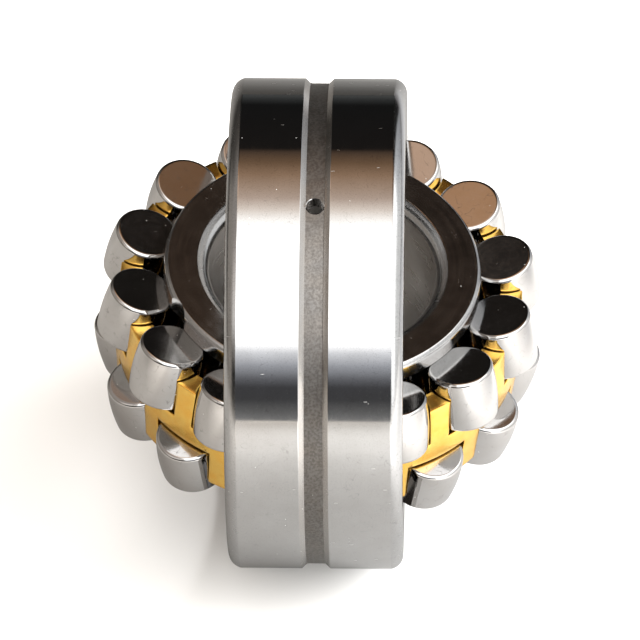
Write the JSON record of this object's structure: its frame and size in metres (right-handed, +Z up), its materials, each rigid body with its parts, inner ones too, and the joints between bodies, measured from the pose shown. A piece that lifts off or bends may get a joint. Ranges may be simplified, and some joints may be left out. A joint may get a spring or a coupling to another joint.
{
  "type": "spherical roller bearing",
  "caption": "Self-aligning bearing with paired rows of barrel rollers in a brass cage, its inner half swivelled open inside an outer ring with an oil groove.",
  "frame": {"origin": "centre of the spherical raceway, where the axes of the outer ring, the rollers and the inner ring cross", "axes": "+X along the axis of the outer ring, +Z up with the outer ring standing on its rim, -Y towards the viewer"},
  "size_m": [0.1187, 0.13, 0.13],
  "materials": {
    "ring_steel": "finely ground bearing steel, satin mirror",
    "inner_ring_steel": "ground bearing steel, bright raceways and duller turned edges",
    "guide_steel": "turned steel",
    "cage_brass": "machined brass with cutter marks",
    "roller_steel": "polished barrel with ground flat ends"
  },
  "bodies": {
    "outer_ring": {"outer_ring": "ring_steel"},
    "guide_ring": {"guide_ring": "guide_steel"},
    "inner_ring": {"inner_ring": "inner_ring_steel"},
    "cage": {"cage": "cage_brass"},
    "upper_roller_01": {"upper_roller_01": "roller_steel"},
    "upper_roller_02": {"upper_roller_02": "roller_steel"},
    "upper_roller_03": {"upper_roller_03": "roller_steel"},
    "upper_roller_04": {"upper_roller_04": "roller_steel"},
    "upper_roller_05": {"upper_roller_05": "roller_steel"},
    "upper_roller_06": {"upper_roller_06": "roller_steel"},
    "upper_roller_07": {"upper_roller_07": "roller_steel"},
    "upper_roller_08": {"upper_roller_08": "roller_steel"},
    "upper_roller_09": {"upper_roller_09": "roller_steel"},
    "upper_roller_10": {"upper_roller_10": "roller_steel"},
    "upper_roller_11": {"upper_roller_11": "roller_steel"},
    "upper_roller_12": {"upper_roller_12": "roller_steel"},
    "upper_roller_13": {"upper_roller_13": "roller_steel"},
    "upper_roller_14": {"upper_roller_14": "roller_steel"},
    "lower_roller_01": {"lower_roller_01": "roller_steel"},
    "lower_roller_02": {"lower_roller_02": "roller_steel"},
    "lower_roller_03": {"lower_roller_03": "roller_steel"},
    "lower_roller_04": {"lower_roller_04": "roller_steel"},
    "lower_roller_05": {"lower_roller_05": "roller_steel"},
    "lower_roller_06": {"lower_roller_06": "roller_steel"},
    "lower_roller_07": {"lower_roller_07": "roller_steel"},
    "lower_roller_08": {"lower_roller_08": "roller_steel"},
    "lower_roller_09": {"lower_roller_09": "roller_steel"},
    "lower_roller_10": {"lower_roller_10": "roller_steel"},
    "lower_roller_11": {"lower_roller_11": "roller_steel"},
    "lower_roller_12": {"lower_roller_12": "roller_steel"},
    "lower_roller_13": {"lower_roller_13": "roller_steel"},
    "lower_roller_14": {"lower_roller_14": "roller_steel"}
  },
  "joints": [
    {"name": "swivel", "type": "hinge", "parent": "outer_ring", "child": "guide_ring", "pos_m": [0, 0, 0], "axis": [0, 1, 0], "range_deg": [-3.5, 86.5]},
    {"name": "inner_ring_spin", "type": "hinge", "parent": "guide_ring", "child": "inner_ring", "pos_m": [0, 0, 0], "axis": [0.061, 0, 0.9981], "continuous": true},
    {"name": "cage_spin", "type": "hinge", "parent": "guide_ring", "child": "cage", "pos_m": [0, 0, 0], "axis": [0.061, 0, 0.9981], "continuous": true},
    {"name": "upper_roller_01_spin", "type": "hinge", "parent": "cage", "child": "upper_roller_01", "pos_m": [-0.01945, 0.04527, 0.01238], "axis": [0.1489, -0.2008, 0.9683], "continuous": true},
    {"name": "upper_roller_02_spin", "type": "hinge", "parent": "cage", "child": "upper_roller_02", "pos_m": [-0.03706, 0.03203, 0.01346], "axis": [0.227, -0.1421, 0.9635], "continuous": true},
    {"name": "upper_roller_03_spin", "type": "hinge", "parent": "cage", "child": "upper_roller_03", "pos_m": [-0.0472, 0.01246, 0.01408], "axis": [0.2719, -0.0553, 0.9607], "continuous": true},
    {"name": "upper_roller_04_spin", "type": "hinge", "parent": "cage", "child": "upper_roller_04", "pos_m": [-0.04785, -0.00959, 0.01412], "axis": [0.2748, 0.0425, 0.9605], "continuous": true},
    {"name": "upper_roller_05_spin", "type": "hinge", "parent": "cage", "child": "upper_roller_05", "pos_m": [-0.03889, -0.02974, 0.01357], "axis": [0.2351, 0.1319, 0.963], "continuous": true},
    {"name": "upper_roller_06_spin", "type": "hinge", "parent": "cage", "child": "upper_roller_06", "pos_m": [-0.02209, -0.04399, 0.01254], "axis": [0.1606, 0.1952, 0.9675], "continuous": true},
    {"name": "upper_roller_07_spin", "type": "hinge", "parent": "cage", "child": "upper_roller_07", "pos_m": [-0.00079, -0.04954, 0.01124], "axis": [0.0661, 0.2197, 0.9733], "continuous": true},
    {"name": "upper_roller_08_spin", "type": "hinge", "parent": "cage", "child": "upper_roller_08", "pos_m": [0.02081, -0.04527, 0.00992], "axis": [-0.0297, 0.2008, 0.9792], "continuous": true},
    {"name": "upper_roller_09_spin", "type": "hinge", "parent": "cage", "child": "upper_roller_09", "pos_m": [0.03842, -0.03203, 0.00884], "axis": [-0.1079, 0.1421, 0.984], "continuous": true},
    {"name": "upper_roller_10_spin", "type": "hinge", "parent": "cage", "child": "upper_roller_10", "pos_m": [0.04856, -0.01246, 0.00822], "axis": [-0.1528, 0.0553, 0.9867], "continuous": true},
    {"name": "upper_roller_11_spin", "type": "hinge", "parent": "cage", "child": "upper_roller_11", "pos_m": [0.04921, 0.00959, 0.00818], "axis": [-0.1557, -0.0425, 0.9869], "continuous": true},
    {"name": "upper_roller_12_spin", "type": "hinge", "parent": "cage", "child": "upper_roller_12", "pos_m": [0.04025, 0.02974, 0.00873], "axis": [-0.116, -0.1319, 0.9845], "continuous": true},
    {"name": "upper_roller_13_spin", "type": "hinge", "parent": "cage", "child": "upper_roller_13", "pos_m": [0.02346, 0.04399, 0.00975], "axis": [-0.0415, -0.1952, 0.9799], "continuous": true},
    {"name": "upper_roller_14_spin", "type": "hinge", "parent": "cage", "child": "upper_roller_14", "pos_m": [0.00215, 0.04954, 0.01106], "axis": [0.053, -0.2197, 0.9741], "continuous": true},
    {"name": "lower_roller_01_spin", "type": "hinge", "parent": "cage", "child": "lower_roller_01", "pos_m": [-0.03036, 0.03964, -0.00933], "axis": [-0.0721, 0.1759, 0.9818], "continuous": true},
    {"name": "lower_roller_02_spin", "type": "hinge", "parent": "cage", "child": "lower_roller_02", "pos_m": [-0.04459, 0.02282, -0.00846], "axis": [-0.1352, 0.1012, 0.9856], "continuous": true},
    {"name": "lower_roller_03_spin", "type": "hinge", "parent": "cage", "child": "lower_roller_03", "pos_m": [-0.05012, 0.00147, -0.00812], "axis": [-0.1598, 0.0065, 0.9871], "continuous": true},
    {"name": "lower_roller_04_spin", "type": "hinge", "parent": "cage", "child": "lower_roller_04", "pos_m": [-0.04587, -0.02017, -0.00838], "axis": [-0.1409, -0.0895, 0.986], "continuous": true},
    {"name": "lower_roller_05_spin", "type": "hinge", "parent": "cage", "child": "lower_roller_05", "pos_m": [-0.03266, -0.03781, -0.00919], "axis": [-0.0823, -0.1677, 0.9824], "continuous": true},
    {"name": "lower_roller_06_spin", "type": "hinge", "parent": "cage", "child": "lower_roller_06", "pos_m": [-0.01311, -0.04797, -0.01039], "axis": [0.0044, -0.2128, 0.9771], "continuous": true},
    {"name": "lower_roller_07_spin", "type": "hinge", "parent": "cage", "child": "lower_roller_07", "pos_m": [0.00889, -0.04862, -0.01173], "axis": [0.102, -0.2157, 0.9711], "continuous": true},
    {"name": "lower_roller_08_spin", "type": "hinge", "parent": "cage", "child": "lower_roller_08", "pos_m": [0.029, -0.03964, -0.01296], "axis": [0.1912, -0.1759, 0.9657], "continuous": true},
    {"name": "lower_roller_09_spin", "type": "hinge", "parent": "cage", "child": "lower_roller_09", "pos_m": [0.04323, -0.02282, -0.01383], "axis": [0.2543, -0.1012, 0.9618], "continuous": true},
    {"name": "lower_roller_10_spin", "type": "hinge", "parent": "cage", "child": "lower_roller_10", "pos_m": [0.04876, -0.00147, -0.01417], "axis": [0.2789, -0.0065, 0.9603], "continuous": true},
    {"name": "lower_roller_11_spin", "type": "hinge", "parent": "cage", "child": "lower_roller_11", "pos_m": [0.0445, 0.02017, -0.01391], "axis": [0.26, 0.0895, 0.9615], "continuous": true},
    {"name": "lower_roller_12_spin", "type": "hinge", "parent": "cage", "child": "lower_roller_12", "pos_m": [0.03129, 0.03781, -0.0131], "axis": [0.2014, 0.1677, 0.965], "continuous": true},
    {"name": "lower_roller_13_spin", "type": "hinge", "parent": "cage", "child": "lower_roller_13", "pos_m": [0.01175, 0.04797, -0.01191], "axis": [0.1147, 0.2128, 0.9703], "continuous": true},
    {"name": "lower_roller_14_spin", "type": "hinge", "parent": "cage", "child": "lower_roller_14", "pos_m": [-0.01025, 0.04862, -0.01056], "axis": [0.0171, 0.2157, 0.9763], "continuous": true}
  ],
  "couplings": [
    {"joint": "cage_spin", "follows": "inner_ring_spin", "ratio": 0.41142},
    {"joint": "upper_roller_01_spin", "follows": "inner_ring_spin", "ratio": -2.6668},
    {"joint": "upper_roller_02_spin", "follows": "inner_ring_spin", "ratio": -2.6668},
    {"joint": "upper_roller_03_spin", "follows": "inner_ring_spin", "ratio": -2.6668},
    {"joint": "upper_roller_04_spin", "follows": "inner_ring_spin", "ratio": -2.6668},
    {"joint": "upper_roller_05_spin", "follows": "inner_ring_spin", "ratio": -2.6668},
    {"joint": "upper_roller_06_spin", "follows": "inner_ring_spin", "ratio": -2.6668},
    {"joint": "upper_roller_07_spin", "follows": "inner_ring_spin", "ratio": -2.6668},
    {"joint": "upper_roller_08_spin", "follows": "inner_ring_spin", "ratio": -2.6668},
    {"joint": "upper_roller_09_spin", "follows": "inner_ring_spin", "ratio": -2.6668},
    {"joint": "upper_roller_10_spin", "follows": "inner_ring_spin", "ratio": -2.6668},
    {"joint": "upper_roller_11_spin", "follows": "inner_ring_spin", "ratio": -2.6668},
    {"joint": "upper_roller_12_spin", "follows": "inner_ring_spin", "ratio": -2.6668},
    {"joint": "upper_roller_13_spin", "follows": "inner_ring_spin", "ratio": -2.6668},
    {"joint": "upper_roller_14_spin", "follows": "inner_ring_spin", "ratio": -2.6668},
    {"joint": "lower_roller_01_spin", "follows": "inner_ring_spin", "ratio": -2.6668},
    {"joint": "lower_roller_02_spin", "follows": "inner_ring_spin", "ratio": -2.6668},
    {"joint": "lower_roller_03_spin", "follows": "inner_ring_spin", "ratio": -2.6668},
    {"joint": "lower_roller_04_spin", "follows": "inner_ring_spin", "ratio": -2.6668},
    {"joint": "lower_roller_05_spin", "follows": "inner_ring_spin", "ratio": -2.6668},
    {"joint": "lower_roller_06_spin", "follows": "inner_ring_spin", "ratio": -2.6668},
    {"joint": "lower_roller_07_spin", "follows": "inner_ring_spin", "ratio": -2.6668},
    {"joint": "lower_roller_08_spin", "follows": "inner_ring_spin", "ratio": -2.6668},
    {"joint": "lower_roller_09_spin", "follows": "inner_ring_spin", "ratio": -2.6668},
    {"joint": "lower_roller_10_spin", "follows": "inner_ring_spin", "ratio": -2.6668},
    {"joint": "lower_roller_11_spin", "follows": "inner_ring_spin", "ratio": -2.6668},
    {"joint": "lower_roller_12_spin", "follows": "inner_ring_spin", "ratio": -2.6668},
    {"joint": "lower_roller_13_spin", "follows": "inner_ring_spin", "ratio": -2.6668},
    {"joint": "lower_roller_14_spin", "follows": "inner_ring_spin", "ratio": -2.6668}
  ]
}
